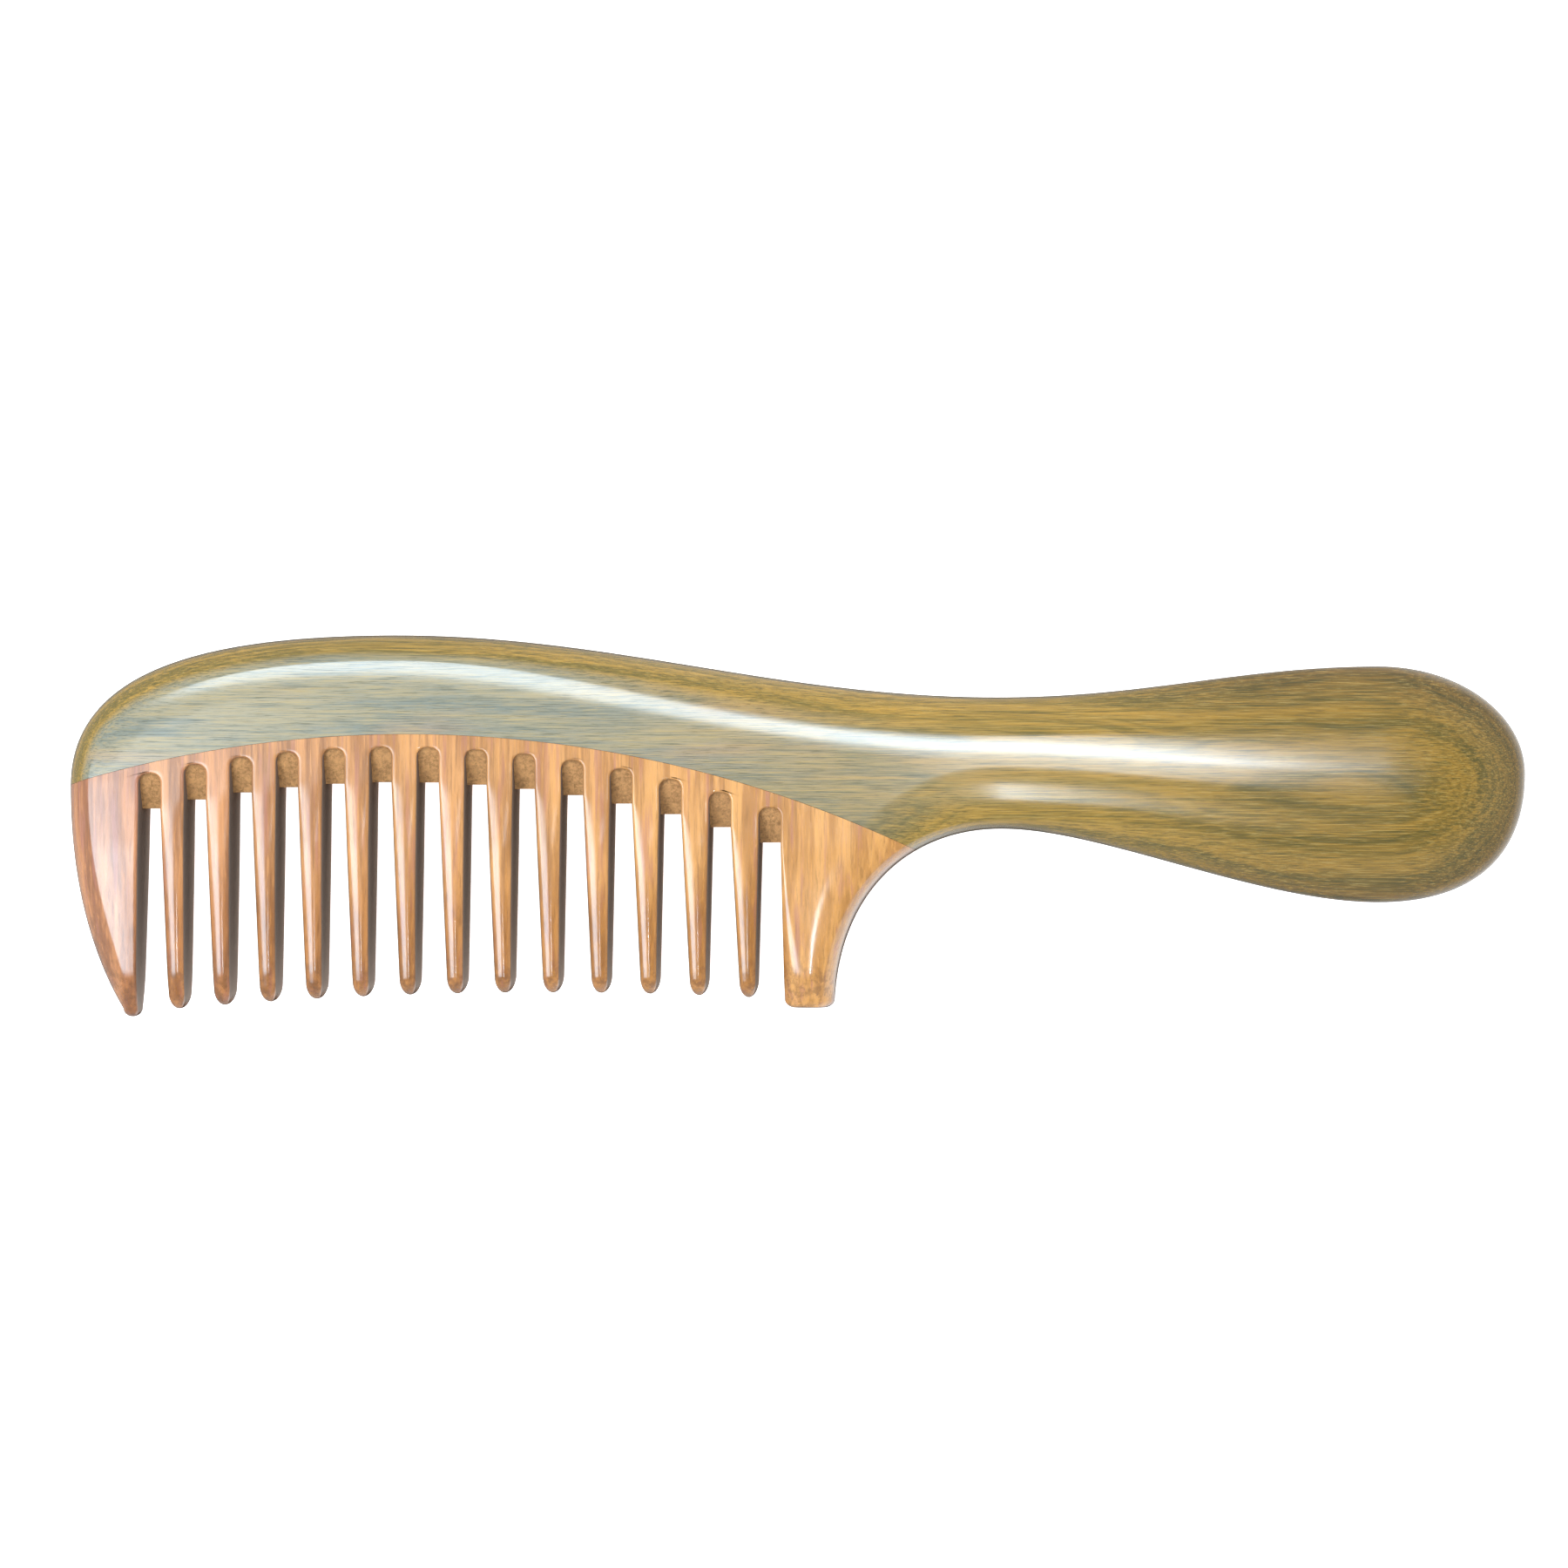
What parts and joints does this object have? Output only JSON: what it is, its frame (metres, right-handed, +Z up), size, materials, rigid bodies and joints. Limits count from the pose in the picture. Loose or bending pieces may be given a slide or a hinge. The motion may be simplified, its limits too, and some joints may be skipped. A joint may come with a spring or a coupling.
{
  "type": "wide tooth comb",
  "caption": "Wooden wide tooth comb: a spine and bulb-ended handle in one piece, with separate toothed slats set into its curved edge by a hidden tongue and groove.",
  "frame": {"origin": "under the middle of the comb's box, on the plane that its back cheek lies on", "axes": "+X along the length towards the handle's bulb, +Y across the comb towards the back of the spine, with the teeth pointing to -Y, +Z up out of the front cheek"},
  "size_m": [0.2, 0.0526, 0.012],
  "materials": {
    "spine_wood": "polished",
    "slat_wood_rose": "polished",
    "slat_wood_amber": "polished",
    "slat_wood_gold": "polished"
  },
  "bodies": {
    "root": {"spine_handle": "spine_wood", "left_guard_tooth": "slat_wood_rose", "tooth_01": "slat_wood_rose", "tooth_02": "slat_wood_rose", "tooth_03": "slat_wood_rose", "tooth_04": "slat_wood_rose", "tooth_05": "slat_wood_rose", "tooth_06": "slat_wood_amber", "tooth_07": "slat_wood_amber", "tooth_08": "slat_wood_amber", "tooth_09": "slat_wood_amber", "tooth_10": "slat_wood_amber", "tooth_11": "slat_wood_amber", "tooth_12": "slat_wood_amber", "tooth_13": "slat_wood_amber", "right_guard_tooth": "slat_wood_gold"}
  },
  "joints": []
}
